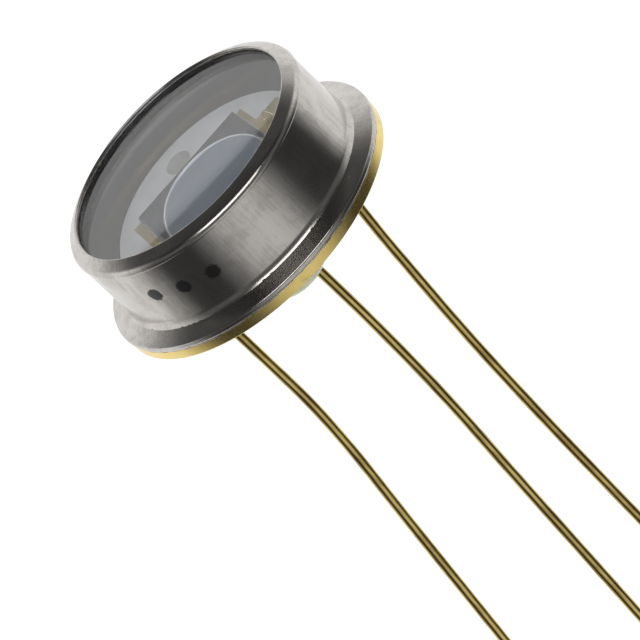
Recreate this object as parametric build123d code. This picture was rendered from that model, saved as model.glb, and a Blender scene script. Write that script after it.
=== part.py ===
from build123d import *
import math
import os

# Photodiode in a round metal can with a flat glass window and three wire leads.
# Millimetres. The origin is the centre of the header's underside, the window faces +Z
# and the leads run down -Z. The anode lead is on -X, the cathode lead on +X and the
# case lead on -Y.

# Header: a stamped eyelet with a flat flange and a raised platform
header_inset = 0.05
header_sheet = 0.47
header_edge_round = 0.08
platform_clearance = 0.64
platform_height = 1.36
platform_round = 0.2
recess_round = 0.2

# Pins and their glass
pin_circle_inset = 1.03
pin_hole_radius = 0.75
glass_setback = 0.1
meniscus_radius = 0.55
meniscus_drop = 0.3
meniscus_edge = 0.03
bead_radius = 1.4
bead_drop = 1.5
bead_round = 0.3
bead_shift = 0.55
bead_wall_gap = 0.06

# Leads
lead_radius = 0.22
lead_length = 25.4
lead_tip_chamfer = 0.06
post_above_floor = 0.15
case_weld_radius = 0.4
case_weld_height = 0.12
bend_direction = -8.0
lead_arc_share = 0.45

# Cap: a drawn shell of one sheet
cap_flange_radius = 7.0
cap_wall = 0.25
cap_height = 4.85
flange_width = 0.91
bend_radius = 0.6
flange_edge_round = 0.1
lip_sheet = 0.25
lip_proud = 0.04
lip_depth = 0.56
lip_shoulder = 0.36
lip_round = 0.3
lip_inner_round = 0.06
bore_corner_round = 0.25
lip_reach = 0.34

# Projection weld between the cap's rim and the header's flange
weld_thickness = 0.03
weld_inner_margin = 0.22
weld_outer_margin = 0.03

# Window and its seal
window_thickness = 1.0
window_clearance = 0.06
window_edge_round = 0.3
seal_fillet_width = 0.4
seal_fillet_depth = 0.58
seal_fillet_hollow = 0.3

# Ceramic substrate
substrate_bond_thickness = 0.035
substrate_bond_margin = 0.2
substrate_thickness = 0.635
substrate_inset = 0.25
substrate_hole_radius = 0.58
substrate_turn = -4.0

# Gold film on the ceramic
pad_film = 0.015
pad_side_margin = 0.35
pad_front_margin = 0.1
tab_half_depth = 1.75
tab_edge_margin = 0.3
tab_corner = 0.5

# Silicon die and what lies on it
die_pin_clearance = 0.9
die_thickness = 0.2
die_shift_x = 0.06
die_shift_y = 0.0
attach_thickness = 0.02
attach_margin = 0.05
coating_edge_margin = 0.25
coating_thickness = 0.008
ring_width = 0.1
ring_thickness = 0.014
bond_pad_size = 0.28
bond_pad_angle = 222.0

# Bond wires
wire_radius = 0.02
wire_loop = 0.28
wire_rise_share = 0.25
wire_fall_share = 0.6
wire_arc_share = 0.2
wire_foot_length = 0.14
wire_foot_width = 0.08

# Heights, widths and radii that follow from the sizes above
barrel_radius = cap_flange_radius - flange_width
bore_radius = barrel_radius - cap_wall
aperture_radius = bore_radius - lip_reach
header_radius = cap_flange_radius - header_inset
platform_radius = bore_radius - platform_clearance
cap_seat = header_sheet + weld_thickness
rim_top = cap_seat + cap_wall
recess_radius = platform_radius - header_sheet
recess_top = platform_height - header_sheet
pin_circle_radius = recess_radius - pin_circle_inset
substrate_radius = platform_radius - substrate_inset
die_size = 2 * (pin_circle_radius - die_pin_clearance)
pad_width = die_size + 2 * pad_side_margin
pad_depth = die_size + 2 * pad_front_margin
coating_radius = die_size / 2 - coating_edge_margin
window_top = cap_height - lip_sheet
window_bottom = window_top - window_thickness
window_radius = bore_radius - window_clearance
substrate_bottom = platform_height + substrate_bond_thickness
floor_height = substrate_bottom + substrate_thickness
pad_top = floor_height + pad_film
die_bottom = pad_top + attach_thickness
die_top = die_bottom + die_thickness
post_top = floor_height + post_above_floor
case_lead_top = recess_top - case_weld_height

# Where the four pin positions lie, as angles seen from the window side
ANODE, CATHODE, CASE, UNUSED = 180.0, 0.0, 270.0, 90.0

# Bends of each lead: height of the bend and how far the wire has moved along the bend direction
ANODE_BENDS = [(-7.3, 0.0), (-10.4, -0.26), (-14.5, -0.8), (-lead_length, -2.1)]
CASE_BENDS = [(-5.0, 0.0), (-9.8, -0.15), (-14.6, -0.53), (-lead_length, -1.28)]
CATHODE_BENDS = [(-2.2, 0.0), (-4.9, -0.32), (-10.9, -0.85), (-16.4, -1.14), (-lead_length, -1.45)]


def profile(corners):
    """Closed outline of (radius, height) corners, each with an optional rounding."""
    outline = make_face(Polyline(*[corner[:2] for corner in corners], close=True))
    for corner in corners:
        if len(corner) == 3:
            vertex = outline.vertices().sort_by_distance((corner[0], corner[1], 0))[0]
            outline = fillet(vertex, corner[2])
    return outline


def turned(corners):
    """Solid of revolution about Z of such an outline."""
    return revolve(Plane.XZ * profile(corners), Axis.Z, 360)


def ring(inner, outer, low, high):
    """Plain ring, or a disc where the inner radius is 0."""
    blank = disc(outer, low, high)
    if inner > 0:
        blank -= disc(inner, low, high)
    return blank


def disc(radius, low, high, x=0.0, y=0.0):
    """Plain disc between two heights."""
    return Pos(x, y, low) * Cylinder(radius, high - low, align=(Align.CENTER, Align.CENTER, Align.MIN))


def slab(width, depth, low, high):
    """Plain rectangle between two heights."""
    return Pos(0, 0, low) * Box(width, depth, high - low, align=(Align.CENTER, Align.CENTER, Align.MIN))


def pin_place(angle):
    """Centre of a pin on the pin circle."""
    turn = math.radians(angle)
    return pin_circle_radius * math.cos(turn), pin_circle_radius * math.sin(turn)


def on_substrate(shape):
    """Turns a piece with the substrate, which sits a little askew on the header."""
    return Rot(0, 0, substrate_turn) * shape


def cap_shell():
    lip_radius = barrel_radius + lip_proud
    lip_bottom = cap_height - lip_depth
    return turned(
        [
            (aperture_radius, window_top, lip_inner_round),
            (bore_radius, window_top, bore_corner_round),
            (bore_radius, cap_seat, bend_radius + cap_wall),
            (cap_flange_radius, cap_seat, flange_edge_round),
            (cap_flange_radius, rim_top, flange_edge_round),
            (barrel_radius, rim_top, bend_radius),
            (barrel_radius, lip_bottom - lip_proud),
            (lip_radius, lip_bottom),
            (lip_radius, cap_height - lip_shoulder, lip_round),
            (aperture_radius, cap_height, lip_inner_round),
        ]
    )


def window_glass():
    return turned(
        [
            (0, window_bottom),
            (window_radius, window_bottom, window_clearance),
            (window_radius, window_top, window_edge_round),
            (0, window_top),
        ]
    )


def window_seal_ring(glass):
    fillet_inner = bore_radius - seal_fillet_width
    fillet_low = window_bottom - seal_fillet_depth
    middle = (
        bore_radius - seal_fillet_hollow * seal_fillet_width,
        window_bottom - seal_fillet_hollow * seal_fillet_depth,
    )
    blank = turned(
        [
            (fillet_inner, window_bottom),
            middle,
            (bore_radius, fillet_low),
            (bore_radius, window_top, bore_corner_round),
            (fillet_inner, window_top),
        ]
    )
    return blank - glass


def weld_ring():
    inner = header_radius - weld_inner_margin
    outer = header_radius - weld_outer_margin
    return ring(inner, outer, header_sheet, cap_seat)


def header_eyelet():
    shell = turned(
        [
            (0, recess_top),
            (recess_radius, recess_top, recess_round),
            (recess_radius, 0, recess_round),
            (header_radius, 0, header_edge_round),
            (header_radius, header_sheet, header_edge_round / 2),
            (platform_radius, header_sheet, platform_round),
            (platform_radius, platform_height, platform_round),
            (0, platform_height),
        ]
    )
    for angle in (ANODE, CATHODE, UNUSED):
        x, y = pin_place(angle)
        shell -= disc(pin_hole_radius, 0, platform_height, x, y)
    return shell


def header_glass(shell, metal):
    """Glass that fills the recess and the pin holes, with its menisci and the proud bead."""
    body = disc(recess_radius, glass_setback, platform_height) - shell
    for angle in (ANODE, CATHODE):
        x, y = pin_place(angle)
        foot = lead_radius + meniscus_edge
        cone = Cone(foot, meniscus_radius, meniscus_drop, align=(Align.CENTER, Align.CENTER, Align.MAX))
        body += Pos(x, y, glass_setback) * cone
    bead_reach = recess_radius - bead_radius - bead_wall_gap
    bead = turned(
        [
            (0, -bead_drop),
            (bead_radius, -bead_drop, bead_round),
            (bead_radius, glass_setback),
            (0, glass_setback),
        ]
    )
    body += Pos(-bead_shift, -math.sqrt(bead_reach**2 - bead_shift**2), 0) * bead
    for piece in metal:
        body -= piece
    return body


def lead(angle, bends, top):
    """Wire that leaves the glass straight down and then bends gently sideways."""
    x, y = pin_place(angle)
    sideways = math.radians(bend_direction)
    points = [Vector(x, y, top)]
    for height, shift in bends:
        points.append(Vector(x + shift * math.cos(sideways), y + shift * math.sin(sideways), height))
    radii = []
    for before, here, after in zip(points, points[1:], points[2:]):
        turn = math.radians((here - before).get_angle(after - here))
        shorter = min((here - before).length, (after - here).length)
        radii.append(lead_arc_share * shorter / math.tan(turn / 2))
    path = FilletPolyline(*points, radius=radii)
    section = Plane(origin=points[0], z_dir=path % 0) * Circle(lead_radius)
    wire = sweep(section, path=path)
    tip = wire.faces().sort_by(Axis.Z)[0]
    return chamfer(tip.edges(), lead_tip_chamfer)


def case_lead_weld():
    x, y = pin_place(CASE)
    return disc(case_weld_radius, case_lead_top, recess_top, x, y)


def substrate_holes(radius, low, high):
    """Four round holes, one at each pin position of the substrate."""
    places = [pin_place(angle) for angle in (ANODE, CATHODE, CASE, UNUSED)]
    return [disc(radius, low, high, x, y) for x, y in places]


def ceramic_substrate():
    plate = disc(substrate_radius, substrate_bottom, floor_height)
    for hole in substrate_holes(substrate_hole_radius, substrate_bottom, floor_height):
        plate -= hole
    return on_substrate(plate)


def substrate_bond():
    film = disc(substrate_radius - substrate_bond_margin, platform_height, substrate_bottom)
    for hole in substrate_holes(pin_hole_radius, platform_height, substrate_bottom):
        film -= hole
    return on_substrate(film)


def die_pad():
    """Gold film under the die, with a wide tab round the cathode pin's hole."""
    tab_reach = substrate_radius - tab_edge_margin
    film = slab(pad_width, pad_depth, floor_height, pad_top)
    tab = Rectangle(tab_reach, 2 * tab_half_depth, align=(Align.MIN, Align.CENTER))
    tab = extrude(fillet(tab.vertices().sort_by(Axis.X)[-2:], tab_corner), pad_film)
    tab = Pos(0, 0, floor_height) * tab
    film += tab & disc(tab_reach, floor_height, pad_top)
    for hole in substrate_holes(substrate_hole_radius, floor_height, pad_top):
        film -= hole
    return on_substrate(film)


def on_die(shape):
    """Places a piece with the die on the substrate."""
    return on_substrate(Pos(die_shift_x, die_shift_y, 0) * shape)


def die_attach():
    size = die_size + 2 * attach_margin
    return on_die(slab(size, size, pad_top, die_bottom))


def silicon_die():
    return on_die(slab(die_size, die_size, die_bottom, die_top))


def active_area_coating():
    return on_die(disc(coating_radius, die_top, die_top + coating_thickness))


def contact_ring():
    ring_radius = coating_radius + ring_width
    band = ring(coating_radius, ring_radius, die_top, die_top + ring_thickness)
    pad = slab(bond_pad_size, bond_pad_size, die_top, die_top + ring_thickness)
    pad = Rot(0, 0, bond_pad_angle) * Pos(ring_radius + bond_pad_size / 2 - ring_width, 0, 0) * pad
    return on_die(band + (pad - disc(coating_radius, die_top, die_top + ring_thickness)))


def bond_wire(start, end):
    """Round wire that arches between two flat feet."""
    across = Vector(end.X - start.X, end.Y - start.Y, 0)
    a = start + Vector(0, 0, wire_radius)
    b = end + Vector(0, 0, wire_radius)
    crest = max(a.Z, b.Z) + wire_loop
    points = [a]
    for share in (wire_rise_share, wire_fall_share):
        points.append(Vector(a.X + across.X * share, a.Y + across.Y * share, crest))
    points.append(b)
    path = FilletPolyline(*points, radius=wire_arc_share * across.length)
    section = Plane(origin=a, z_dir=path % 0) * Circle(wire_radius)
    wire = sweep(section, path=path)
    foot = Box(wire_foot_length, wire_foot_width, 2 * wire_radius)
    heading = math.degrees(math.atan2(across.Y, across.X))
    for place in (a, b):
        wire += Pos(place.X, place.Y, place.Z) * Rot(0, 0, heading) * foot
    return wire


def anode_wire():
    turn = math.radians(bond_pad_angle + substrate_turn)
    reach = coating_radius + bond_pad_size / 2
    centre = Vector(die_shift_x, die_shift_y, 0).rotate(Axis.Z, substrate_turn)
    start = centre + Vector(reach * math.cos(turn), reach * math.sin(turn), die_top + ring_thickness)
    end = Vector(*pin_place(ANODE), post_top)
    return bond_wire(start, end)


def cathode_wire():
    start = Vector(*pin_place(CATHODE), post_top)
    hole_edge = substrate_hole_radius + wire_foot_length
    landing = Vector(pin_circle_radius - hole_edge / 2, tab_half_depth - hole_edge / 2, pad_top)
    return bond_wire(start, landing.rotate(Axis.Z, substrate_turn))


def build():
    glass = window_glass()
    shell = header_eyelet()
    leads = {
        "lead_anode": lead(ANODE, ANODE_BENDS, post_top),
        "lead_cathode": lead(CATHODE, CATHODE_BENDS, post_top),
        "lead_case": lead(CASE, CASE_BENDS, case_lead_top),
    }
    weld = case_lead_weld()
    return {
        "cap_shell": cap_shell(),
        "window_glass": glass,
        "window_seal_ring": window_seal_ring(glass),
        "weld_ring": weld_ring(),
        "header_eyelet": shell,
        "header_glass": header_glass(shell, [*leads.values(), weld]),
        **leads,
        "case_lead_weld": weld,
        "substrate_bond": substrate_bond(),
        "ceramic_substrate": ceramic_substrate(),
        "die_pad": die_pad(),
        "die_attach": die_attach(),
        "silicon_die": silicon_die(),
        "active_area_coating": active_area_coating(),
        "contact_ring": contact_ring(),
        "anode_wire": anode_wire(),
        "cathode_wire": cathode_wire(),
    }


os.makedirs("parts", exist_ok=True)
for name, solid in build().items():
    export_step(solid, f"parts/{name}.step")
    print(name, round(solid.volume, 4))
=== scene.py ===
import math

import bpy
from bpy.props import FloatProperty, FloatVectorProperty, IntProperty, PointerProperty
from mathutils import Matrix, Vector


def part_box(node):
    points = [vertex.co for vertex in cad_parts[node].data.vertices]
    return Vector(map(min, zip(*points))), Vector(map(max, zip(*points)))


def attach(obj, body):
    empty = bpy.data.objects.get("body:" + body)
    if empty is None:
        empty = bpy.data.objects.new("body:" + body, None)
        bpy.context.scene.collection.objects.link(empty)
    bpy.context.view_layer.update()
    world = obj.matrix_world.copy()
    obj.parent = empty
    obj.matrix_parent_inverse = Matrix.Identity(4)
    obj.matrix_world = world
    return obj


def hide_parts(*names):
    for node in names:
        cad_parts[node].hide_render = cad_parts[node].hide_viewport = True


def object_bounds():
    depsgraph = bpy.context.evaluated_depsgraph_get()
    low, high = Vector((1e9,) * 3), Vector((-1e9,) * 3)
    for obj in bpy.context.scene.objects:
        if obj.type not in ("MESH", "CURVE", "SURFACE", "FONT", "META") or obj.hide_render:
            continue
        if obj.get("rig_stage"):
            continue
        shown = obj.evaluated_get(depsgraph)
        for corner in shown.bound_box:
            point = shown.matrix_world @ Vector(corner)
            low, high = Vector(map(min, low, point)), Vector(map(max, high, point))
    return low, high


bl_info = {
    "name": "Metal-can photodiode",
    "version": (1, 0, 0),
    "blender": (4, 5, 0),
    "location": "View3D > Sidebar > Photodiode",
    "description": "Dresses a photodiode in a round metal can: cap, window, header, leads, chip and studio",
    "category": "Object",
}

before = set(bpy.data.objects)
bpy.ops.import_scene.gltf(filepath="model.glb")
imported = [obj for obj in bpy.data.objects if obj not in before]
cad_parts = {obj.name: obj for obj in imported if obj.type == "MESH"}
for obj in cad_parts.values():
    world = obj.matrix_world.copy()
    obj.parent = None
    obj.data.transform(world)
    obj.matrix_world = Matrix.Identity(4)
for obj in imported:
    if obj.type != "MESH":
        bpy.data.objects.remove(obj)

MM = 0.001
PICTURE_SIDE = 640

# The light low round the can: degrees from the camera's side, and its level
LOW_LIGHT = (
    (-180, 1.0), (-114, 0.95), (-100, 0.55), (-78, 0.05), (-47, 0.04), (-33, 0.22), (-17, 0.62), (6, 0.72),
    (22, 0.58), (38, 0.2), (49, 0.05), (88, 0.04), (98, 0.35), (110, 0.95), (180, 1.0),
)


def top_of(node):
    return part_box(node)[1].z


def bottom_of(node):
    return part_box(node)[0].z


def radius_of(node):
    """Radius of a round node that stands on the Z axis."""
    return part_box(node)[1].x


def length(name, description, default):
    return FloatProperty(name=name, description=description, default=default, unit="LENGTH", precision=6)


def angle_of(name, description, degrees):
    return FloatProperty(name=name, description=description, default=math.radians(degrees), subtype="ANGLE")


def colour(name, description, default):
    return FloatVectorProperty(
        name=name, description=description, default=default, subtype="COLOR", size=3, min=0.0, max=1.0
    )


class CapSizes(bpy.types.PropertyGroup):
    """Drawn cap with its window and its weld to the header"""

    segments: IntProperty(name="Segments", description="Steps round each turned piece", default=288, min=64)
    wall: length("Wall", "Sheet thickness of barrel and rim", 0.25 * MM)
    barrel_radius: length("Barrel radius", "Outer radius of the barrel", radius_of("window_seal_ring") + 0.25 * MM)
    bend_radius: length("Bend radius", "Rounding between barrel and rim", 0.56 * MM)
    bend_width: length("Bend width", "How far the bend carries the sheet out", 0.14 * MM)
    bend_foot: length("Bend foot", "Height of the bend's end above the rim's top", 0.28 * MM)
    bend_corner: length("Bend corner", "Height above the rim's top where the bend's tangents cross", 0.441 * MM)
    rim_edge: length("Rim edge", "Rounding of the rim's outer edge", 0.1 * MM)
    lip_proud: length("Lip proud", "How far the lip stands out from the barrel", 0.04 * MM)
    lip_depth: length("Lip depth", "Height of the lip from its crease to the top", 0.56 * MM)
    lip_shoulder: length("Lip shoulder", "Fall of the lip's top from the opening outwards", 0.36 * MM)
    lip_round: length("Lip rounding", "Rounding of the lip's shoulder", 0.3 * MM)
    lip_sheet: length("Lip sheet", "Thickness of the sheet over the window", 0.25 * MM)
    aperture_radius: length("Opening radius", "Radius of the opening over the window", 5.5 * MM)
    height: length("Height", "Top of the lip's inner edge above the header's underside", 4.849 * MM)
    window_gap: length("Window gap", "Hairline between the glass and what holds it", 0.006 * MM)
    flash_reach: length("Weld flash", "How far the weld flash stands out of its joint", 0.05 * MM)


class HeaderSizes(bpy.types.PropertyGroup):
    """Gold-plated header"""

    sheet: length("Sheet", "Thickness of the stamped header", 0.47 * MM)
    edge_round: length("Edge rounding", "Rounding of the flange's lower edge", 0.05 * MM)
    platform_radius: length("Platform radius", "Radius of the raised middle", 5.2 * MM)
    platform_round: length("Platform rounding", "Rounding of the raised middle's edge", 0.2 * MM)
    glass_grain: length("Glass grain", "Cell size to which the sealing glass is melted smooth", 0.07 * MM)


class LeadSizes(bpy.types.PropertyGroup):
    """The three wires"""

    radius: length("Radius", "Radius of the wire", 0.22 * MM)
    pin_circle: length("Pin circle", "Radius of the circle that the pins stand on", 3.7 * MM)
    drop: length("Length", "Length of the leads below the header", 25.385 * MM)
    tip_cut: length("Tip cut", "Chamfer at the cut end", 0.06 * MM)
    bend_direction: angle_of("Bend direction", "Way in which the wires lean", -8.0)


class ChipSizes(bpy.types.PropertyGroup):
    """Silicon chip, its ring and its bond wires"""

    turn: angle_of("Turn", "How far the ceramic and chip are turned", -4.0)
    size: length("Size", "Side of the square chip", 5.6 * MM)
    shift: length("Shift", "How far the chip sits off centre", 0.06 * MM)
    street: length("Saw street", "Bare border left by the saw", 0.07 * MM)
    coating_radius: length("Coating radius", "Radius of the active area", 2.55 * MM)
    ring_width: length("Ring width", "Width of the metal contact ring", 0.1 * MM)
    pad_size: length("Bond pad", "Side of the bond pad on the ring", 0.28 * MM)
    pad_angle: angle_of("Pad angle", "Place of the bond pad on the ring", 222.0)
    wire_radius: length("Bond wire", "Radius of the bond wires", 0.02 * MM)


class Finishes(bpy.types.PropertyGroup):
    """Colours of the object's surfaces"""

    nickel: colour("Nickel", "Satin nickel plate of the cap", (0.60, 0.575, 0.545))
    nickel_worn: colour("Worn nickel", "Darker blotches in the plate", (0.47, 0.445, 0.415))
    gold: colour("Gold plate", "Plate of the header", (0.93, 0.72, 0.26))
    gold_worn: colour("Worn gold", "Brown patches in the plate", (0.50, 0.34, 0.12))
    lead_gold: colour("Lead gold", "Plate of the wires", (0.76, 0.59, 0.20))
    lead_dull: colour("Dull lead gold", "Tarnished streaks along the wires", (0.44, 0.32, 0.11))
    frit: colour("Frit", "Dark glass that seals the window", (0.035, 0.035, 0.037))
    seal_glass: colour("Sealing glass", "Pale green glass of the header", (0.66, 0.69, 0.52))
    ceramic: colour("Ceramic", "Floor inside the can", (0.60, 0.60, 0.615))
    fired_gold: colour("Fired gold", "Film under the chip", (0.56, 0.45, 0.19))
    oxide: colour("Oxide", "Border of the chip", (0.24, 0.235, 0.29))
    coating: colour("Coating", "Active area of the chip", (0.40, 0.46, 0.56))
    bright_metal: colour("Bright metal", "Contact ring of the chip", (0.74, 0.76, 0.78))
    adhesive: colour("Adhesive", "Silver-filled adhesive", (0.42, 0.41, 0.39))
    # bore: painted shade, a darker colour that stands in for the shade on the wall inside the can
    bore: colour("Bore", "Bare steel inside the cap", (0.23, 0.224, 0.214))
    ink: colour("Ink", "Plain stamped dots on the barrel", (0.012, 0.011, 0.011))


class Studio(bpy.types.PropertyGroup):
    """Camera, floor and light"""

    azimuth: angle_of("Azimuth", "Camera's place round the can", -8.0)
    elevation: angle_of("Elevation", "Camera's height", 26.62)
    roll: angle_of("Roll", "Lean of the camera", 46.37)
    distance: length("Distance", "Camera to the header's underside", 409.75 * MM)
    lens: FloatProperty(name="Lens", description="Focal length in millimetres", default=562.5)
    origin_x: FloatProperty(name="Origin across", description="Pixel column of the header's centre", default=253.88)
    origin_y: FloatProperty(name="Origin down", description="Pixel row of the header's centre", default=225.58)
    floor: colour("Floor", "Plain pale floor", (0.90, 0.90, 0.90))


GROUPS = {
    "can_cap": CapSizes,
    "can_header": HeaderSizes,
    "can_leads": LeadSizes,
    "can_chip": ChipSizes,
    "can_finishes": Finishes,
    "can_studio": Studio,
}


def settings(name):
    return getattr(bpy.context.scene, name)


# Modelling


def start_clean():
    """Leaves edit mode and deselects everything, because an operator acts on all that is selected."""
    if bpy.context.object and bpy.context.object.mode != "OBJECT":
        bpy.ops.object.mode_set(mode="OBJECT")
    bpy.ops.object.select_all(action="DESELECT")


def edit_all():
    bpy.ops.object.mode_set(mode="EDIT")
    bpy.ops.mesh.select_all(action="SELECT")


def object_mode():
    bpy.ops.object.mode_set(mode="OBJECT")
    return bpy.context.object


def select_where(piece, test, domain="FACE"):
    """Selects the faces or vertices that pass a test, by their place or normal, and enters edit mode."""
    bpy.ops.object.mode_set(mode="EDIT")
    bpy.ops.mesh.select_mode(type="FACE" if domain == "FACE" else "VERT")
    bpy.ops.mesh.select_all(action="DESELECT")
    bpy.ops.object.mode_set(mode="OBJECT")
    for part in piece.data.polygons if domain == "FACE" else piece.data.vertices:
        part.select = test(part)
    bpy.ops.object.mode_set(mode="EDIT")


def only_selected(piece):
    start_clean()
    piece.select_set(True)
    bpy.context.view_layer.objects.active = piece


def settle(piece):
    """Puts the piece's place, turn and scale into its mesh."""
    only_selected(piece)
    bpy.ops.object.transform_apply(location=True, rotation=True, scale=True)


def apply_modifiers(piece):
    only_selected(piece)
    for modifier in list(piece.modifiers):
        bpy.ops.object.modifier_apply(modifier=modifier.name)


def rounded(corners, steps=8):
    """Points of a closed outline whose corners may carry a rounding as their third number."""
    points = []
    count = len(corners)
    for i, corner in enumerate(corners):
        here = Vector(corner[:2])
        if len(corner) == 2:
            points.append(here)
            continue
        back = (Vector(corners[i - 1][:2]) - here).normalized()
        on = (Vector(corners[(i + 1) % count][:2]) - here).normalized()
        half = back.angle(on) / 2
        centre = here + (back + on).normalized() * corner[2] / math.sin(half)
        reach = corner[2] / math.tan(half)
        first = here + back * reach - centre
        last = here + on * reach - centre
        sweep = first.angle_signed(last)
        for step in range(steps + 1):
            points.append(centre + Matrix.Rotation(-sweep * step / steps, 2) @ first)
    return points


def chain(points, close):
    """A chain of edges through points in the XZ plane, made by extruding one vertex from point to point."""
    start_clean()
    bpy.ops.mesh.primitive_plane_add(size=MM, location=(points[0].x, 0, points[0].y))
    settle(bpy.context.object)
    edit_all()
    bpy.ops.mesh.merge(type="CENTER")
    bpy.ops.mesh.select_mode(type="VERT")
    for before, after in zip(points, points[1:]):
        step = after - before
        bpy.ops.mesh.extrude_vertices_move(TRANSFORM_OT_translate={"value": (step.x, 0, step.y)})
    if close:
        step = points[0] - points[-1]
        bpy.ops.mesh.extrude_vertices_move(TRANSFORM_OT_translate={"value": (step.x, 0, step.y)})
    bpy.ops.mesh.select_all(action="SELECT")
    bpy.ops.mesh.remove_doubles(threshold=1e-7)


def turned(name, corners, segments=None, close=True, smooth=32.0):
    """A piece turned about the Z axis from an outline of (radius, height) corners."""
    chain(rounded(corners), close)
    steps = segments or settings("can_cap").segments
    bpy.ops.mesh.select_all(action="SELECT")
    bpy.ops.mesh.spin(steps=steps, angle=2 * math.pi, center=(0, 0, 0), axis=(0, 0, 1))
    bpy.ops.mesh.select_all(action="SELECT")
    bpy.ops.mesh.remove_doubles(threshold=1e-7)
    bpy.ops.mesh.normals_make_consistent(inside=False)
    piece = object_mode()
    piece.name = name
    piece.data.name = name
    bpy.ops.object.shade_smooth_by_angle(angle=math.radians(smooth))
    flat = piece.modifiers.new("flat faces stay flat", "WEIGHTED_NORMAL")
    flat.keep_sharp = True
    apply_modifiers(piece)
    return piece


def move_mesh(piece, matrix):
    """Turns or shifts a finished piece and settles it again."""
    piece.matrix_world = matrix @ piece.matrix_world
    settle(piece)
    return piece


def joined(name, pieces):
    start_clean()
    for piece in pieces:
        piece.select_set(True)
    bpy.context.view_layer.objects.active = pieces[0]
    bpy.ops.object.join()
    piece = bpy.context.object
    piece.name = name
    piece.data.name = name
    return piece


def roughened(piece, name, scale, strength, test):
    """Pushes part of a surface in and out along its normals by a fixed cloud pattern."""
    group = piece.vertex_groups.new(name=name)
    group.add([v.index for v in piece.data.vertices if test(v.co)], 1.0, "REPLACE")
    texture = bpy.data.textures.new(name, "CLOUDS")
    texture.noise_scale = scale
    texture.noise_depth = 3
    modifier = piece.modifiers.new(name, "DISPLACE")
    modifier.texture = texture
    modifier.texture_coords = "LOCAL"
    modifier.vertex_group = name
    modifier.strength = strength
    modifier.mid_level = 0.5
    apply_modifiers(piece)
    piece.vertex_groups.clear()
    bpy.data.textures.remove(texture)


def finish_piece(piece, material, slot, *nodes):
    """Gives the piece its finish, hangs it under the root body and hides the CAD nodes that it stands for."""
    piece.data.materials.clear()
    piece.data.materials.append(material)
    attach(piece, "root")
    if nodes:
        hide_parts(*nodes)
    return piece


def bar(name, points, radius, sides=20, ends=True):
    """A round bar that follows Bezier knots, each a place and its two handles."""
    start_clean()
    bpy.ops.curve.primitive_bezier_curve_add()
    line = bpy.context.object
    spline = line.data.splines[0]
    spline.bezier_points.add(len(points) - 2)
    for knot, (back, place, on) in zip(spline.bezier_points, points):
        knot.handle_left_type = "FREE"
        knot.handle_right_type = "FREE"
        knot.handle_left = back
        knot.co = place
        knot.handle_right = on
    line.data.dimensions = "3D"
    line.data.resolution_u = 16
    line.data.bevel_depth = radius
    line.data.bevel_resolution = sides // 4
    line.data.use_fill_caps = ends
    bpy.ops.object.convert(target="MESH")
    piece = bpy.context.object
    piece.name = name
    piece.data.name = name
    edit_all()
    bpy.ops.mesh.remove_doubles(threshold=1e-8)
    bpy.ops.mesh.normals_make_consistent(inside=False)
    object_mode()
    bpy.ops.object.shade_smooth_by_angle(angle=math.radians(40))
    return piece


# Finishes


def add_node(tree, kind, sockets=None, **options):
    """Adds a node; a socket's value is a constant or another node's output."""
    node = tree.nodes.new(kind)
    for option, value in options.items():
        setattr(node, option, value)
    for name, value in (sockets or {}).items():
        if isinstance(value, bpy.types.NodeSocket):
            tree.links.new(value, node.inputs[name])
        else:
            node.inputs[name].default_value = value
    return node


def surface(name, **constants):
    """A new material with its surface shader and the constants set on the shader's own sockets."""
    material = bpy.data.materials.new(name)
    material.use_nodes = True
    tree = material.node_tree
    shader = tree.nodes["Principled BSDF"]
    for socket, value in constants.items():
        shader.inputs[socket.replace("_", " ").title().replace("Ior", "IOR")].default_value = value
    return material, tree, shader


def in_millimetres(tree, stretch=(1, 1, 1)):
    """The object's own coordinates in millimetres, squeezed or stretched along each axis."""
    place = add_node(tree, "ShaderNodeTexCoord").outputs["Object"]
    scale = [value / MM for value in stretch]
    return add_node(tree, "ShaderNodeMapping", {"Vector": place, "Scale": scale}).outputs["Vector"]


def noise(tree, vector, scale, detail=4.0, roughness=0.6, distortion=0.0):
    sockets = {"Vector": vector, "Scale": scale, "Detail": detail, "Roughness": roughness, "Distortion": distortion}
    return add_node(tree, "ShaderNodeTexNoise", sockets).outputs["Fac"]


def remap(tree, value, low, high, to_low=0.0, to_high=1.0, smooth=False):
    sockets = {"Value": value, "From Min": low, "From Max": high, "To Min": to_low, "To Max": to_high}
    kind = "SMOOTHSTEP" if smooth else "LINEAR"
    return add_node(tree, "ShaderNodeMapRange", sockets, interpolation_type=kind).outputs["Result"]


def maths(tree, operation, first, second=0.0, clamp=False):
    node = add_node(tree, "ShaderNodeMath", operation=operation, use_clamp=clamp)
    for socket, value in zip(node.inputs, (first, second)):
        if isinstance(value, bpy.types.NodeSocket):
            tree.links.new(value, socket)
        else:
            socket.default_value = value
    return node.outputs["Value"]


def mixed(tree, factor, first, second):
    """A colour between two others."""
    node = add_node(tree, "ShaderNodeMix", data_type="RGBA")
    for index, value in ((0, factor), (6, first), (7, second)):
        if isinstance(value, bpy.types.NodeSocket):
            tree.links.new(value, node.inputs[index])
        elif index:
            node.inputs[index].default_value = (*value, 1.0)
        else:
            node.inputs[index].default_value = value
    return node.outputs[2]


def relief(tree, shader, height, strength, depth):
    sockets = {"Height": height, "Strength": strength, "Distance": depth}
    bump = add_node(tree, "ShaderNodeBump", sockets)
    tree.links.new(bump.outputs["Normal"], shader.inputs["Normal"])


def along(tree, vector, direction):
    """How far a vector points in a direction."""
    sockets = {0: vector, 1: tuple(direction)}
    return add_node(tree, "ShaderNodeVectorMath", sockets, operation="DOT_PRODUCT").outputs["Value"]


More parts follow.
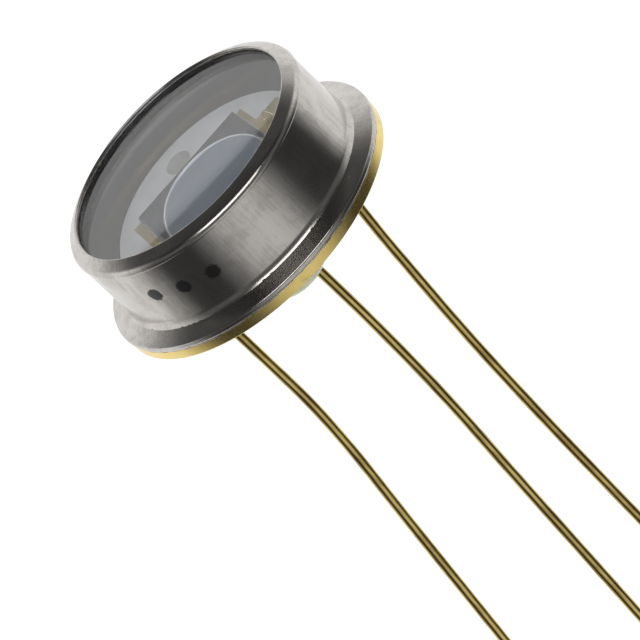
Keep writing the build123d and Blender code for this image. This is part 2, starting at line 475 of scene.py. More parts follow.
def ramp(tree, value, stops):
    """A grey level between stops, each an angle in degrees round the can and its level."""
    node = add_node(tree, "ShaderNodeValToRGB", {"Fac": value})
    elements = node.color_ramp.elements
    elements[0].position = 0.0
    elements[1].position = 1.0
    for angle, _ in stops[1:-1]:
        elements.new((angle + 180) / 360)
    for element, (_, level) in zip(elements, stops):
        element.color = (level, level, level, 1.0)
    return node.outputs["Color"]


def parts_of(tree, vector):
    return add_node(tree, "ShaderNodeSeparateXYZ", {"Vector": vector}).outputs


def satin_nickel(dots):
    """Nickel plate with drawing marks, blotches and ink dots, and painted shade: a darker colour on the wall inside
    the can.
    """
    look = settings("can_finishes")
    material, tree, shader = surface("satin_nickel", metallic=1.0)
    plain = in_millimetres(tree)
    drawn = in_millimetres(tree, (9.0, 9.0, 0.7))
    blotches = noise(tree, plain, 0.9, 5.0, 0.62, 0.4)
    marks = noise(tree, drawn, 1.0, 4.0, 0.65)
    grain = noise(tree, plain, 26.0, 3.0, 0.6)
    worn = maths(tree, "ADD", maths(tree, "MULTIPLY", blotches, 0.6), maths(tree, "MULTIPLY", marks, 0.4))
    worn = remap(tree, worn, 0.42, 0.62, 0.0, 1.0, True)
    metal = mixed(tree, worn, look.nickel, look.nickel_worn)
    # outside is 0 on the wall inside the can, where a darker colour is painted as the shade inside the can, and 1
    # on the barrel and on the lip above the window
    place = parts_of(tree, plain)
    squares = [maths(tree, "POWER", place[axis], 2.0) for axis in "XY"]
    away = maths(tree, "SQRT", maths(tree, "ADD", *squares))
    bore = radius_of("window_seal_ring") / MM
    beyond_bore = remap(tree, away, bore + 0.03, bore + 0.12)
    outside = maths(tree, "MULTIPLY", beyond_bore, remap(tree, place["Z"], 4.6, 4.5))
    outside = maths(tree, "ADD", outside, remap(tree, place["Z"], 4.45, 4.55), clamp=True)
    # painted shade: the wall inside the can takes the darker bore colour in place of the nickel
    metal = mixed(tree, outside, look.bore, metal)
    inked = None
    for dot in dots:
        sockets = {0: plain, 1: tuple(value / MM for value in dot)}
        gap = add_node(tree, "ShaderNodeVectorMath", sockets, operation="DISTANCE").outputs["Value"]
        inked = gap if inked is None else maths(tree, "MINIMUM", inked, gap)
    ragged = maths(tree, "ADD", inked, remap(tree, noise(tree, plain, 9.0), 0.3, 0.7, -0.05, 0.05))
    inked = remap(tree, ragged, 0.30, 0.37, 1.0, 0.0, True)
    tree.links.new(mixed(tree, inked, metal, look.ink), shader.inputs["Base Color"])
    tree.links.new(remap(tree, inked, 0.7, 1.0, 1.0, 0.0), shader.inputs["Metallic"])
    rough = remap(tree, maths(tree, "ADD", blotches, marks), 0.7, 1.3, 0.14, 0.23)
    tree.links.new(rough, shader.inputs["Roughness"])
    height = maths(tree, "ADD", maths(tree, "MULTIPLY", marks, 0.7), maths(tree, "MULTIPLY", grain, 0.04))
    height = maths(tree, "MULTIPLY", height, remap(tree, outside, 0.0, 1.0, 0.25, 1.0))
    relief(tree, shader, height, 0.3, 0.006 * MM)
    return material


def gold_plate():
    """Soft gold plate with brown wear and a fine grain."""
    look = settings("can_finishes")
    material, tree, shader = surface("gold_plate", metallic=1.0)
    plain = in_millimetres(tree)
    blotches = noise(tree, plain, 0.8, 5.0, 0.6)
    grain = noise(tree, plain, 18.0, 3.0, 0.7)
    worn = remap(tree, blotches, 0.52, 0.74, 0.0, 0.8, True)
    tree.links.new(mixed(tree, worn, look.gold, look.gold_worn), shader.inputs["Base Color"])
    tree.links.new(remap(tree, grain, 0.3, 0.7, 0.20, 0.34), shader.inputs["Roughness"])
    relief(tree, shader, grain, 0.3, 0.005 * MM)
    return material


def drawn_gold():
    """Gold-plated wire with dull streaks and die marks along its length."""
    look = settings("can_finishes")
    material, tree, shader = surface("drawn_gold", metallic=1.0)
    streaks = noise(tree, in_millimetres(tree, (14.0, 14.0, 0.5)), 1.0, 4.0, 0.6)
    patches = noise(tree, in_millimetres(tree), 0.5, 4.0, 0.6)
    dull = maths(tree, "ADD", maths(tree, "MULTIPLY", streaks, 0.5), maths(tree, "MULTIPLY", patches, 0.5))
    dull = remap(tree, dull, 0.42, 0.60, 0.0, 1.0, True)
    tree.links.new(mixed(tree, dull, look.lead_gold, look.lead_dull), shader.inputs["Base Color"])
    tree.links.new(remap(tree, streaks, 0.3, 0.7, 0.12, 0.26), shader.inputs["Roughness"])
    relief(tree, shader, streaks, 0.4, 0.006 * MM)
    return material


def window_glass():
    """Clear polished borosilicate with faint surface waviness and a light dust of fine pits."""
    material, tree, shader = surface("window_glass", transmission_weight=1.0, ior=1.49, specular_ior_level=0.12)
    plain = in_millimetres(tree)
    dust = noise(tree, plain, 30.0, 2.0, 0.8)
    tree.links.new(remap(tree, dust, 0.62, 0.80, 0.0, 0.09, True), shader.inputs["Roughness"])
    tint = mixed(tree, noise(tree, plain, 0.4), (0.985, 0.992, 0.992), (0.965, 0.975, 0.98))
    tree.links.new(tint, shader.inputs["Base Color"])
    relief(tree, shader, noise(tree, plain, 0.35, 1.0), 0.04, 0.004 * MM)
    return material


def dark_frit():
    """Fired glass frit: nearly black, glossy, with small bubbles."""
    look = settings("can_finishes")
    material, tree, shader = surface("dark_frit", coat_weight=0.3, coat_roughness=0.12)
    plain = in_millimetres(tree)
    bubbles = add_node(tree, "ShaderNodeTexVoronoi", {"Vector": plain, "Scale": 7.0}).outputs["Distance"]
    pits = remap(tree, bubbles, 0.05, 0.20, 1.0, 0.0, True)
    lighter = tuple(2.2 * value for value in look.frit)
    tree.links.new(mixed(tree, pits, look.frit, lighter), shader.inputs["Base Color"])
    tree.links.new(remap(tree, noise(tree, plain, 3.0), 0.3, 0.7, 0.22, 0.4), shader.inputs["Roughness"])
    relief(tree, shader, maths(tree, "SUBTRACT", noise(tree, plain, 2.0), pits), 0.4, 0.01 * MM)
    return material


def sealing_glass():
    """Pale green glass with streaks and bubbles, light inside and glossy outside, with painted shade: near black
    where it lies inside the can.
    """
    look = settings("can_finishes")
    material, tree, shader = surface(
        "sealing_glass", subsurface_weight=0.35, subsurface_scale=0.4 * MM, coat_weight=0.5, coat_roughness=0.05
    )
    plain = in_millimetres(tree)
    streaks = remap(tree, noise(tree, plain, 0.8, 4.0, 0.55, 0.8), 0.35, 0.65, 0.0, 1.0, True)
    bubbles = add_node(tree, "ShaderNodeTexVoronoi", {"Vector": plain, "Scale": 4.0}).outputs["Distance"]
    bubbles = remap(tree, bubbles, 0.06, 0.14, 0.35, 0.0, True)
    paler = tuple(min(1.0, 1.16 * value) for value in look.seal_glass)
    darker = tuple(0.72 * value for value in look.seal_glass)
    body = mixed(tree, streaks, look.seal_glass, paler)
    # painted shade: glass above 1.25 mm, inside the can under the ceramic, is coloured near black for the shade at
    # the bottom of the holes
    inside = remap(tree, parts_of(tree, plain)["Z"], 1.0, 1.25)
    body = mixed(tree, inside, body, (0.05, 0.045, 0.035))
    tree.links.new(mixed(tree, bubbles, body, darker), shader.inputs["Base Color"])
    tree.links.new(remap(tree, streaks, 0.0, 1.0, 0.10, 0.20), shader.inputs["Roughness"])
    relief(tree, shader, noise(tree, plain, 1.2, 2.0), 0.25, 0.02 * MM)
    return material


def weld_metal():
    """Weld flash: bright, rough metal with burnt brown spots."""
    material, tree, shader = surface("weld_metal", metallic=1.0)
    plain = in_millimetres(tree)
    burnt = remap(tree, noise(tree, plain, 2.5, 4.0, 0.6), 0.5, 0.68, 0.0, 1.0, True)
    tree.links.new(mixed(tree, burnt, (0.62, 0.60, 0.56), (0.24, 0.19, 0.13)), shader.inputs["Base Color"])
    grain = noise(tree, plain, 14.0, 3.0, 0.7)
    tree.links.new(remap(tree, grain, 0.3, 0.7, 0.28, 0.5), shader.inputs["Roughness"])
    relief(tree, shader, grain, 0.6, 0.015 * MM)
    return material


def alumina():
    """Matt fired ceramic with a fine grain and faint stains."""
    look = settings("can_finishes")
    material, tree, shader = surface("alumina", specular_ior_level=0.4)
    plain = in_millimetres(tree)
    stains = remap(tree, noise(tree, plain, 0.6, 4.0, 0.6), 0.35, 0.7, 0.0, 1.0, True)
    darker = tuple(0.86 * value for value in look.ceramic)
    tree.links.new(mixed(tree, stains, look.ceramic, darker), shader.inputs["Base Color"])
    grain = noise(tree, plain, 22.0, 4.0, 0.75)
    tree.links.new(remap(tree, grain, 0.3, 0.7, 0.5, 0.7), shader.inputs["Roughness"])
    relief(tree, shader, grain, 0.35, 0.01 * MM)
    return material


def fired_gold():
    """Screen-printed gold film with a mesh-like grain."""
    look = settings("can_finishes")
    material, tree, shader = surface("fired_gold", metallic=0.85)
    plain = in_millimetres(tree)
    grain = noise(tree, plain, 16.0, 4.0, 0.7)
    patches = remap(tree, noise(tree, plain, 1.4), 0.35, 0.7, 0.0, 0.6, True)
    darker = tuple(0.6 * value for value in look.fired_gold)
    tree.links.new(mixed(tree, patches, look.fired_gold, darker), shader.inputs["Base Color"])
    tree.links.new(remap(tree, grain, 0.3, 0.7, 0.4, 0.6), shader.inputs["Roughness"])
    relief(tree, shader, grain, 0.5, 0.008 * MM)
    return material


def chip_silicon():
    """Polished silicon: lavender oxide on top, grey and finely grooved where the saw went."""
    look = settings("can_finishes")
    material, tree, shader = surface("chip_silicon", metallic=0.8)
    plain = in_millimetres(tree)
    height = parts_of(tree, plain)["Z"]
    top = top_of("silicon_die") / MM
    on_top = remap(tree, height, top - 0.012, top - 0.004, 0.0, 1.0)
    saw = noise(tree, in_millimetres(tree, (3.0, 3.0, 60.0)), 1.0, 3.0, 0.6)
    sides = mixed(tree, saw, (0.20, 0.20, 0.21), (0.34, 0.34, 0.35))
    faint = tuple(0.88 * value for value in look.oxide)
    oxide = mixed(tree, noise(tree, plain, 0.7), look.oxide, faint)
    tree.links.new(mixed(tree, on_top, sides, oxide), shader.inputs["Base Color"])
    tree.links.new(remap(tree, on_top, 0.0, 1.0, 0.42, 0.10), shader.inputs["Roughness"])
    return material


def chip_coating():
    """Anti-reflection layer of the active area: smooth blue-grey with a slow drift of colour."""
    look = settings("can_finishes")
    material, tree, shader = surface("chip_coating", metallic=0.45)
    plain = in_millimetres(tree)
    drift = remap(tree, noise(tree, plain, 0.28, 2.0), 0.3, 0.7, 0.0, 1.0, True)
    bluer = (0.88 * look.coating[0], 0.95 * look.coating[1], 1.04 * look.coating[2])
    tree.links.new(mixed(tree, drift, look.coating, bluer), shader.inputs["Base Color"])
    tree.links.new(remap(tree, noise(tree, plain, 8.0), 0.3, 0.7, 0.06, 0.11), shader.inputs["Roughness"])
    return material


def chip_metal():
    """Bright evaporated metal with a fine grain."""
    look = settings("can_finishes")
    material, tree, shader = surface("chip_metal", metallic=1.0)
    grain = noise(tree, in_millimetres(tree), 40.0, 3.0, 0.7)
    greyer = tuple(0.86 * value for value in look.bright_metal)
    tree.links.new(mixed(tree, grain, look.bright_metal, greyer), shader.inputs["Base Color"])
    tree.links.new(remap(tree, grain, 0.3, 0.7, 0.16, 0.3), shader.inputs["Roughness"])
    return material


def bond_gold():
    """Drawn gold bond wire."""
    material, tree, shader = surface("bond_gold", metallic=1.0)
    grain = noise(tree, in_millimetres(tree, (30.0, 30.0, 6.0)), 1.0, 3.0, 0.6)
    tree.links.new(mixed(tree, grain, (0.92, 0.72, 0.34), (0.80, 0.60, 0.25)), shader.inputs["Base Color"])
    tree.links.new(remap(tree, grain, 0.3, 0.7, 0.15, 0.28), shader.inputs["Roughness"])
    return material


def silver_adhesive():
    """Cured adhesive full of silver flakes."""
    look = settings("can_finishes")
    material, tree, shader = surface("silver_adhesive", metallic=0.35)
    plain = in_millimetres(tree)
    flakes = add_node(tree, "ShaderNodeTexVoronoi", {"Vector": plain, "Scale": 30.0}).outputs["Distance"]
    paler = tuple(1.35 * value for value in look.adhesive)
    tree.links.new(mixed(tree, flakes, paler, look.adhesive), shader.inputs["Base Color"])
    tree.links.new(remap(tree, flakes, 0.0, 0.6, 0.35, 0.6), shader.inputs["Roughness"])
    relief(tree, shader, flakes, 0.5, 0.01 * MM)
    return material


# Pieces


class CAN_OT_cap(bpy.types.Operator):
    """Cap with its lip, barrel, bend and welded rim"""

    bl_idname = "can.cap"
    bl_label = "Cap"

    def execute(self, context):
        size = settings("can_cap")
        outer = size.barrel_radius
        bore = outer - size.wall
        rim = radius_of("cap_shell")
        seat = bottom_of("cap_shell")
        rim_top = seat + size.wall
        under_lip = size.height - size.lip_sheet
        crease = size.height - size.lip_depth
        foot = outer + size.bend_width
        cap = turned(
            "cap",
            [
                (size.aperture_radius, under_lip, 0.06 * MM),
                (bore, under_lip),
                (bore, seat, 0.85 * MM),
                (rim, seat, size.rim_edge),
                (rim, rim_top, size.rim_edge),
                (foot, rim_top + size.bend_foot, 0.03 * MM),
                (outer, rim_top + size.bend_corner, size.bend_radius),
                (outer, crease - size.lip_proud, 0.05 * MM),
                (outer + size.lip_proud, crease, 0.02 * MM),
                (outer + size.lip_proud, size.height - size.lip_shoulder, size.lip_round),
                (size.aperture_radius, size.height, 0.06 * MM),
            ],
        )
        dots = []
        for angle, height in ((-59.9, 2.95), (-45.8, 2.80), (-32.2, 2.70)):
            turn = math.radians(angle)
            dots.append((outer * math.sin(turn), -outer * math.cos(turn), height * MM))
        finish_piece(cap, satin_nickel(dots), "nickel_plate", "cap_shell")
        return {"FINISHED"}


class CAN_OT_window(bpy.types.Operator):
    """Window disc and the frit that seals it"""

    bl_idname = "can.window"
    bl_label = "Window and seal"

    def execute(self, context):
        size = settings("can_cap")
        low, high = (corner.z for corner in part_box("window_glass"))
        gap = size.window_gap
        edge = radius_of("window_glass") - gap
        window = turned(
            "window",
            [(0, low), (edge, low, 0.03 * MM), (edge, high - gap, 0.03 * MM), (0, high - gap)],
            close=False,
        )
        finish_piece(window, window_glass(), "window_glass", "window_glass")
        bore = radius_of("window_seal_ring") - gap
        foot = bottom_of("window_seal_ring")
        inner = bore - 0.4 * MM
        bond = 2 * gap
        seal = turned(
            "window_seal",
            [
                (inner, low + bond),
                (inner + gap, low - 2 * gap),
                (bore - 0.12 * MM, low - 0.17 * MM, 0.3 * MM),
                (bore, foot, 0.02 * MM),
                (bore, high - gap),
                (edge - bond, high - gap),
                (edge - bond, low + bond),
            ],
        )
        inside, under = bore - gap, low - gap
        roughened(seal, "run", 0.9 * MM, 0.05 * MM, lambda place: place.xy.length < inside and place.z < under)
        finish_piece(seal, dark_frit(), "seal_glass", "window_seal_ring")
        return {"FINISHED"}


class CAN_OT_weld(bpy.types.Operator):
    """Flash of the weld between the rim of the cap and the header"""

    bl_idname = "can.weld"
    bl_label = "Weld flash"

    def execute(self, context):
        size = settings("can_cap")
        low, high = (corner.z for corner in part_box("weld_ring"))
        outer = radius_of("weld_ring")
        lip = 0.03 * MM
        flash = turned(
            "weld_flash",
            [
                (outer - 0.42 * MM, low),
                (outer, low),
                (outer + lip, low - 0.02 * MM, 0.01 * MM),
                (outer + lip, high + 0.02 * MM, 0.01 * MM),
                (outer, high),
                (outer - 0.42 * MM, high),
            ],
            segments=480,
        )
        roughened(flash, "splash", 0.35 * MM, size.flash_reach, lambda place: place.xy.length > outer + 0.01 * MM)
        finish_piece(flash, weld_metal(), "weld_flash", "weld_ring")
        return {"FINISHED"}


class CAN_OT_header(bpy.types.Operator):
    """Stamped header and the glass that fills it"""

    bl_idname = "can.header"
    bl_label = "Header"

    def execute(self, context):
        size = settings("can_header")
        rim = radius_of("header_eyelet")
        top = top_of("header_eyelet")
        recess = size.platform_radius - size.sheet
        header = turned(
            "header",
            [
                (0, top - size.sheet),
                (recess, top - size.sheet, size.platform_round),
                (recess, 0, size.platform_round),
                (rim, 0, size.edge_round),
                (rim, size.sheet, size.edge_round / 2),
                (size.platform_radius, size.sheet, size.platform_round),
                (size.platform_radius, top, size.platform_round),
                (0, top),
            ],
            close=False,
        )
        finish_piece(header, gold_plate(), "gold_plate", "header_eyelet")
        finish_piece(self.glass(size), sealing_glass(), "header_glass", "header_glass")
        return {"FINISHED"}

    def glass(self, size):
        """The glass solid, melted smooth so that it creeps up the wires."""
        start_clean()
        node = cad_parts["header_glass"]
        node.select_set(True)
        bpy.context.view_layer.objects.active = node
        bpy.ops.object.duplicate()
        glass = bpy.context.object
        for key in [key for key in glass.keys() if key.startswith("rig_")]:
            del glass[key]
        glass.parent = None
        glass.name = "sealing_glass"
        glass.data.name = "sealing_glass"
        edit_all()
        bpy.ops.mesh.remove_doubles(threshold=1e-7)
        object_mode()
        remesh = glass.modifiers.new("melt", "REMESH")
        remesh.mode = "VOXEL"
        remesh.voxel_size = size.glass_grain
        flow = glass.modifiers.new("flow", "SMOOTH")
        flow.factor = 0.6
        flow.iterations = 6
        apply_modifiers(glass)
        bpy.ops.object.shade_smooth()
        return glass


class CAN_OT_leads(bpy.types.Operator):
    """Three gold-plated wires"""

    bl_idname = "can.leads"
    bl_label = "Leads"

    def execute(self, context):
        size = settings("can_leads")
        gold = drawn_gold()
        end = -size.drop / MM
        wires = (
            ("anode", 180.0, [(-7.3, 0.0), (-10.4, -0.26), (-14.5, -0.8), (end, -2.1)]),
            ("case", 270.0, [(-5.0, 0.0), (-9.8, -0.15), (-14.6, -0.53), (end, -1.28)]),
            ("cathode", 0.0, [(-2.2, 0.0), (-4.9, -0.32), (-10.9, -0.85), (-16.4, -1.14), (end, -1.45)]),
        )
        for name, angle, bends in wires:
            self.wire(name, math.radians(angle), bends, gold, size)
        return {"FINISHED"}

    def wire(self, name, angle, bends, gold, size):
        node = "lead_" + name
        pin = Vector((math.cos(angle), math.sin(angle), 0)) * size.pin_circle
        lean = Vector((math.cos(size.bend_direction), math.sin(size.bend_direction), 0))
        points = [pin + Vector((0, 0, top_of(node)))]
        for height, shift in bends:
            points.append(pin + lean * shift * MM + Vector((0, 0, height * MM)))
        piece = bar(name + "_lead", bent(points), size.radius, 24)
        self.cut_tip(piece, size)
        finish_piece(piece, gold, "gold_plate", node)

    def cut_tip(self, piece, size):
        """Chamfers the lower end, as a cutter leaves it."""
        low = min(v.co.z for v in piece.data.vertices)
        select_where(piece, lambda face: len(face.vertices) > 4 and face.center.z < low + size.radius)
        bpy.ops.mesh.bevel(offset=size.tip_cut, segments=3, affect="EDGES")
        object_mode()


def bent(points, share=0.45):
    """Bezier knots of a wire that runs straight between its bends and turns in an arc at each."""
    knots = [points[0]]
    corners = [None]
    for before, here, after in zip(points, points[1:], points[2:]):
        reach = share * min((here - before).length, (after - here).length)
        knots += [here + (before - here).normalized() * reach, here + (after - here).normalized() * reach]
        corners += [here, here]
    knots.append(points[-1])
    handles = []
    for i, knot in enumerate(knots):
        back = knot + (knots[max(i - 1, 0)] - knot) / 3
        on = knot + (knots[min(i + 1, len(knots) - 1)] - knot) / 3
        corner = corners[i] if i < len(corners) else None
        if corner is not None and i % 2:
            on = knot + (corner - knot) * 2 / 3
        elif corner is not None:
            back = knot + (corner - knot) * 2 / 3
        handles.append((back, knot, on))
    return handles


class CAN_OT_floor_inside(bpy.types.Operator):
    """Ceramic floor inside the can, its gold film and the adhesives"""

    bl_idname = "can.inside_floor"
    bl_label = "Ceramic and film"

    def execute(self, context):
        finishes = {
            "ceramic_substrate": alumina(),
            "die_pad": fired_gold(),
            "die_attach": silver_adhesive(),
            "substrate_bond": silver_adhesive(),
            "case_lead_weld": weld_metal(),
        }
        for node, material in finishes.items():
            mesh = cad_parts[node].data
            mesh.materials.clear()
            mesh.materials.append(material)
        return {"FINISHED"}


class CAN_OT_chip(bpy.types.Operator):
    """Silicon chip with its coating, contact ring and bond pad"""

    bl_idname = "can.chip"
    bl_label = "Chip"

    def execute(self, context):
        size = settings("can_chip")
        place = Matrix.Rotation(size.turn, 4, "Z") @ Matrix.Translation((size.shift, 0, 0))
        low, high = (corner.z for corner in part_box("silicon_die"))
        self.die(size, place, low, high)
        self.coating(size, place)
        self.ring(size, place)
        return {"FINISHED"}

    def die(self, size, place, low, high):
        start_clean()
        middle = (0, 0, (low + high) / 2)
        bpy.ops.mesh.primitive_cube_add(size=1, location=middle, scale=(size.size, size.size, high - low))
        die = bpy.context.object
        die.name = "chip"
        settle(die)
        select_where(die, lambda face: face.normal.z > 0.9)
        bpy.ops.mesh.inset(thickness=size.street, depth=0)
        object_mode()
        inner = size.size / 2 - size.street / 2
        select_where(die, lambda v: v.co.z > high - 1e-7 and abs(v.co.x) > inner, "VERT")
        bpy.ops.transform.translate(value=(0, 0, -0.02 * MM))
        object_mode()
        bevel = die.modifiers.new("sawn edge", "BEVEL")
        bevel.width = 0.008 * MM
        bevel.segments = 2
        apply_modifiers(die)
        finish_piece(move_mesh(die, place), chip_silicon(), "silicon", "silicon_die")

    def coating(self, size, place):
        low, high = (corner.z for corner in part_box("active_area_coating"))
        edge = size.coating_radius
        coating = turned(
            "chip_coating", [(0, low), (edge, low), (edge, high, 0.003 * MM), (0, high)], segments=192, close=False
        )
        finish_piece(move_mesh(coating, place), chip_coating(), "coating", "active_area_coating")

    def ring(self, size, place):
        low, high = (corner.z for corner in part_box("contact_ring"))
        inner = size.coating_radius
        outer = inner + size.ring_width
        soft = 0.004 * MM
        ring = turned(
            "ring", [(inner, low), (outer, low), (outer, high, soft), (inner, high, soft)], segments=192
        )
        reach = inner + size.pad_size / 2
        start_clean()
        bpy.ops.mesh.primitive_cube_add(
            size=1, location=(reach, 0, (low + high) / 2), scale=(size.pad_size, size.pad_size, high - low)
        )
        pad = bpy.context.object
        settle(pad)
        bevel = pad.modifiers.new("soft edge", "BEVEL")
        bevel.width = soft
        bevel.segments = 2
        apply_modifiers(pad)
        move_mesh(pad, Matrix.Rotation(size.pad_angle, 4, "Z"))
        piece = joined("chip_ring", [ring, pad])
        finish_piece(move_mesh(piece, place), chip_metal(), "chip_metal", "contact_ring")


class CAN_OT_bonds(bpy.types.Operator):
    """Two gold bond wires with their ball and wedge ends"""

    bl_idname = "can.bonds"
    bl_label = "Bond wires"

    def execute(self, context):
        chip = settings("can_chip")
        pins = settings("can_leads").pin_circle
        turn = Matrix.Rotation(chip.turn, 4, "Z")
        reach = chip.coating_radius + chip.pad_size / 2
        pad = Vector((reach * math.cos(chip.pad_angle) + chip.shift, reach * math.sin(chip.pad_angle), 0))
        pad.z = top_of("contact_ring")
        film = Vector((pins - 0.36 * MM, 1.39 * MM, top_of("die_pad")))
        post = top_of("lead_anode")
        gold = bond_gold()
        self.bond("anode", turn @ pad, Vector((-pins, 0, post)), gold, chip)
        self.bond("cathode", Vector((pins, 0, post)), turn @ film, gold, chip)
        return {"FINISHED"}

    def bond(self, name, start, end, gold, chip):
        """A ball at the start, a loop, and a wedge pressed flat at the end."""
        thick = chip.wire_radius
        across = Vector((end.x - start.x, end.y - start.y, 0))
        crest = max(start.z, end.z) + 0.27 * MM
        up = Vector((0, 0, 1))
        first = start + up * thick * 2
        last = end + up * thick
        top = Vector((start.x, start.y, crest)) + across * 0.35
        knots = [
            (first, first, first + up * 0.16 * MM),
            (top - across * 0.28, top, top + across * 0.25),
            (last - across * 0.2 + up * 0.1 * MM, last, last),
        ]
        loop = bar(name + "_loop", knots, thick, 12)
        ball = turned(
            name + "_ball", [(0, 0), (2.4 * thick, 0, thick), (2.4 * thick, 2 * thick, thick), (0, 2.4 * thick)],
            segments=32, close=False,
        )
        move_mesh(ball, Matrix.Translation(start))
        start_clean()
        bpy.ops.mesh.primitive_uv_sphere_add(
            segments=24, ring_count=12, radius=1, location=end + up * thick * 0.8,
            scale=(3.6 * thick, 2.0 * thick, 0.8 * thick), rotation=(0, 0, math.atan2(across.y, across.x)),
        )
        wedge = bpy.context.object
        settle(wedge)
        piece = joined(name + "_bond", [loop, ball, wedge])
        bpy.ops.object.shade_smooth()
        finish_piece(piece, gold, "bond_gold", name + "_wire")


# Studio


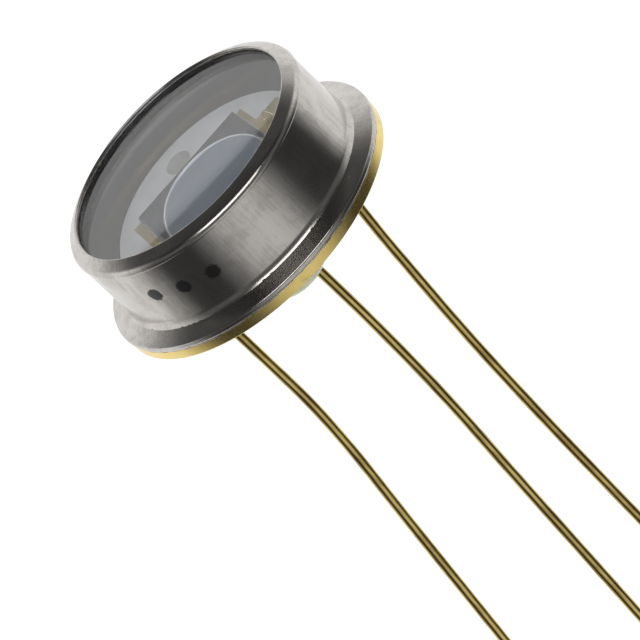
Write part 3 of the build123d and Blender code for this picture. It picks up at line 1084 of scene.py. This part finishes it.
class CAN_OT_stage(bpy.types.Operator):
    """Floor, surroundings, soft box and camera"""

    bl_idname = "can.stage"
    bl_label = "Studio"

    def execute(self, context):
        studio = settings("can_studio")
        context.scene.view_settings.view_transform = "Standard"
        self.floor(studio)
        self.world(context.scene, studio)
        self.lamp(studio)
        self.camera(context.scene, studio)
        return {"FINISHED"}

    def towards_camera(self, studio, turn=0.0, elevation=None):
        """Unit vector from the can, turned from the camera's side by an angle."""
        around = studio.azimuth + turn
        up = studio.elevation if elevation is None else elevation
        return Vector((math.sin(around) * math.cos(up), -math.cos(around) * math.cos(up), math.sin(up)))

    def floor(self, studio):
        start_clean()
        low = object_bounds()[0].z - 0.2 * MM
        bpy.ops.mesh.primitive_circle_add(vertices=96, radius=3.0, fill_type="NGON", location=(0, 0, low))
        floor = bpy.context.object
        floor.name = "floor"
        settle(floor)
        material, tree, shader = surface("floor_card", roughness=0.9, specular_ior_level=0.0)
        patches = noise(tree, in_millimetres(tree), 0.02)
        paler = tuple(min(1.0, 1.02 * value) for value in studio.floor)
        tree.links.new(mixed(tree, patches, studio.floor, paler), shader.inputs["Base Color"])
        seen = add_node(tree, "ShaderNodeLightPath").outputs
        shown = maths(tree, "ADD", seen["Is Camera Ray"], seen["Is Transmission Ray"], clamp=True)
        shader.inputs["Emission Color"].default_value = (1, 1, 1, 1)
        tree.links.new(maths(tree, "MULTIPLY", shown, 0.4), shader.inputs["Emission Strength"])
        clear = add_node(tree, "ShaderNodeBsdfTransparent")
        below = add_node(tree, "ShaderNodeNewGeometry").outputs["Backfacing"]
        seen_through = add_node(tree, "ShaderNodeMixShader", {0: below, 1: shader.outputs[0], 2: clear.outputs[0]})
        tree.links.new(seen_through.outputs[0], tree.nodes["Material Output"].inputs["Surface"])
        floor.data.materials.append(material)
        floor.visible_glossy = False
        floor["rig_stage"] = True

    def world(self, scene, studio):
        """White behind the object; in metal and glass a white tent with a dark front and a dark roof."""
        world = bpy.data.worlds.new("studio")
        world.use_nodes = True
        tree = world.node_tree
        back = tree.nodes["Background"]
        way = add_node(tree, "ShaderNodeTexCoord").outputs["Generated"]
        height = parts_of(tree, way)["Z"]
        forward = along(tree, way, self.towards_camera(studio, elevation=0.0))
        sideways = along(tree, way, self.towards_camera(studio, turn=math.pi / 2, elevation=0.0))
        around = maths(tree, "ARCTAN2", sideways, forward)
        low = ramp(tree, remap(tree, around, -math.pi, math.pi), LOW_LIGHT)
        roof = remap(tree, height, 0.36, 0.74, 1.0, 0.07, True)
        front = remap(tree, forward, -0.35, 0.25, 0.0, 1.0, True)
        high = maths(tree, "MULTIPLY", roof, remap(tree, front, 0.0, 1.0, 1.0, 0.12))
        upper = remap(tree, height, -0.2, 0.1, 0.0, 1.0, True)
        room = mixed(tree, upper, low, high)
        seen = add_node(tree, "ShaderNodeLightPath").outputs
        glossy = mixed(tree, seen["Is Glossy Ray"], (0.62, 0.62, 0.62), room)
        shown = maths(tree, "ADD", seen["Is Camera Ray"], seen["Is Transmission Ray"], clamp=True)
        white = mixed(tree, shown, glossy, (1.0, 1.0, 1.0))
        tree.links.new(white, back.inputs["Color"])
        scene.world = world

    def lamp(self, studio):
        """One large soft box above the camera."""
        start_clean()
        distance, width, height, radiance = 0.26, 0.24, 0.13, 2.2
        way = self.towards_camera(studio, elevation=math.radians(50.0))
        bpy.ops.object.light_add(type="AREA", location=way * distance)
        lamp = bpy.context.object
        lamp.name = "soft_box"
        lamp.rotation_euler = way.to_track_quat("Z", "Y").to_euler()
        lamp.data.shape = "RECTANGLE"
        lamp.data.size = width
        lamp.data.size_y = height
        lamp.data.energy = radiance * math.pi * width * height

    def camera(self, scene, studio):
        """Camera at the photograph's angle, leaning, with the header's centre at its pixel."""
        way = self.towards_camera(studio)
        right = Vector((math.cos(studio.azimuth), math.sin(studio.azimuth), 0))
        up = way.cross(right)
        lean = Matrix.Rotation(studio.roll, 2)
        across = right * lean[0][0] - up * lean[1][0]
        above = right * lean[1][0] + up * lean[0][0]
        start_clean()
        bpy.ops.object.camera_add()
        camera = bpy.context.object
        camera.data.lens = studio.lens
        camera.data.sensor_width = 36.0
        camera.data.clip_start = 0.01
        camera.data.clip_end = 20.0
        pixel = studio.distance * camera.data.sensor_width / (studio.lens * PICTURE_SIDE)
        half = PICTURE_SIDE / 2
        target = across * (half - studio.origin_x) * pixel + above * (studio.origin_y - half) * pixel
        place = way * studio.distance
        back = (place - target).normalized()
        above = (above - back * above.dot(back)).normalized()
        across = above.cross(back)
        camera.matrix_world = Matrix.Translation(place) @ Matrix((across, above, back)).transposed().to_4x4()
        scene.camera = camera


class CAN_PT_panel(bpy.types.Panel):
    """Buttons and sizes of the photodiode"""

    bl_idname = "CAN_PT_panel"
    bl_label = "Photodiode"
    bl_space_type = "VIEW_3D"
    bl_region_type = "UI"
    bl_category = "Photodiode"

    def draw(self, context):
        for operator in OPERATORS:
            self.layout.operator(operator.bl_idname)
        for name, group in GROUPS.items():
            box = self.layout.box()
            box.label(text=group.__doc__)
            for prop in group.__annotations__:
                box.prop(getattr(context.scene, name), prop)


OPERATORS = (
    CAN_OT_cap,
    CAN_OT_window,
    CAN_OT_weld,
    CAN_OT_header,
    CAN_OT_leads,
    CAN_OT_floor_inside,
    CAN_OT_chip,
    CAN_OT_bonds,
    CAN_OT_stage,
)
CLASSES = (*GROUPS.values(), *OPERATORS, CAN_PT_panel)


def register():
    for item in CLASSES:
        bpy.utils.register_class(item)
    for name, group in GROUPS.items():
        setattr(bpy.types.Scene, name, PointerProperty(type=group))


def unregister():
    for name in GROUPS:
        delattr(bpy.types.Scene, name)
    for item in reversed(CLASSES):
        bpy.utils.unregister_class(item)


def corners(bounds):
    return [list(corner) for corner in bounds]


def main():
    register()
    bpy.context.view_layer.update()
    bpy.ops.can.cap()
    bpy.ops.can.window()
    bpy.ops.can.weld()
    bpy.ops.can.header()
    bpy.ops.can.leads()
    bpy.ops.can.inside_floor()
    bpy.ops.can.chip()
    bpy.ops.can.bonds()
    bpy.ops.can.stage()


if __name__ == "__main__":
    main()
